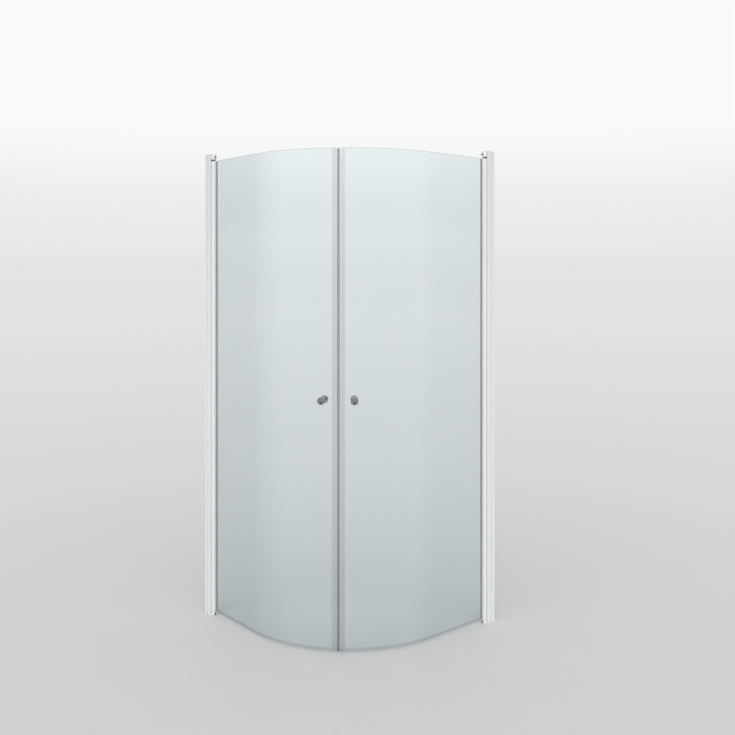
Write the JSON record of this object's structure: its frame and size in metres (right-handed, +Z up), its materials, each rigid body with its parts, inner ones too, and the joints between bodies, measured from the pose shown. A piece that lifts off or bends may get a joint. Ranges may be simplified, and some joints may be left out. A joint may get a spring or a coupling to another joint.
{
  "type": "shower door",
  "caption": "Curved corner shower door pair: bent clear glass doors on rising pivot hinges in slim aluminium wall jambs, meeting at a magnetic seal.",
  "frame": {"origin": "centre of the square that the enclosure covers, on the floor", "axes": "+Z up, +Y towards the wall that carries the left jamb, +X towards the wall that carries the right jamb"},
  "size_m": [0.888, 0.888, 2],
  "materials": {
    "profile_aluminium": "satin anodised extrusion",
    "block_metal": "satin, matched to the profiles",
    "chrome": "polished",
    "steel": "plain machined stainless steel",
    "cover_plastic": "moulded, pale grey",
    "bush_plastic": "moulded, natural white",
    "grey_rubber": "soft lip",
    "dark_rubber": "soft glazing gasket",
    "clear_glass": "toughened, polished edges",
    "clear_plastic": "translucent extrusion",
    "magnet": "flexible magnet",
    "clear_washer": "soft clear washer"
  },
  "bodies": {
    "root": {"left_wall_channel": "profile_aluminium", "left_jamb_profile": "profile_aluminium", "left_top_cover": "cover_plastic", "left_top_block": "block_metal", "left_bottom_block": "block_metal", "left_pin_screws": "chrome", "left_block_screws": "steel", "left_jamb_screws": "steel", "left_screw_caps": "cover_plastic", "left_lip_seal": "grey_rubber", "left_bottom_pin": "steel", "left_lower_bush": "bush_plastic", "right_wall_channel": "profile_aluminium", "right_jamb_profile": "profile_aluminium", "right_top_cover": "cover_plastic", "right_top_block": "block_metal", "right_bottom_block": "block_metal", "right_pin_screws": "chrome", "right_block_screws": "steel", "right_jamb_screws": "steel", "right_screw_caps": "cover_plastic", "right_lip_seal": "grey_rubber", "right_bottom_pin": "steel", "right_lower_bush": "bush_plastic"},
    "left_lift": {"left_lift_pin": "steel", "left_pin_clip": "steel"},
    "left_door": {"left_hinge_column": "profile_aluminium", "left_end_caps": "bush_plastic", "left_top_bush": "bush_plastic", "left_upper_bush": "bush_plastic", "left_glass_gasket": "dark_rubber", "left_glass": "clear_glass", "left_magnet_seal": "clear_plastic", "left_magnet_strip": "magnet", "left_bottom_seal": "clear_plastic", "left_outer_knob": "chrome", "left_inner_knob": "chrome", "left_knob_stud": "steel", "left_knob_washers": "clear_washer"},
    "right_lift": {"right_lift_pin": "steel", "right_pin_clip": "steel"},
    "right_door": {"right_hinge_column": "profile_aluminium", "right_end_caps": "bush_plastic", "right_top_bush": "bush_plastic", "right_upper_bush": "bush_plastic", "right_glass_gasket": "dark_rubber", "right_glass": "clear_glass", "right_magnet_seal": "clear_plastic", "right_magnet_strip": "magnet", "right_bottom_seal": "clear_plastic", "right_outer_knob": "chrome", "right_inner_knob": "chrome", "right_knob_stud": "steel", "right_knob_washers": "clear_washer"}
  },
  "joints": [
    {"name": "left_rise", "type": "slide", "parent": "root", "child": "left_lift", "axis": [0, 0, 1], "range_m": [0, 0.005]},
    {"name": "left_swing", "type": "hinge", "parent": "left_lift", "child": "left_door", "pos_m": [-0.43, 0.396, 1], "axis": [0, 0, -1], "range_deg": [0, 90]},
    {"name": "right_rise", "type": "slide", "parent": "root", "child": "right_lift", "axis": [0, 0, 1], "range_m": [0, 0.005]},
    {"name": "right_swing", "type": "hinge", "parent": "right_lift", "child": "right_door", "pos_m": [0.396, -0.43, 1], "axis": [0, 0, 1], "range_deg": [0, 90]}
  ],
  "couplings": [
    {"joint": "left_rise", "follows": "left_swing", "m_per_rad": 0.003182},
    {"joint": "right_rise", "follows": "right_swing", "m_per_rad": 0.003182}
  ]
}
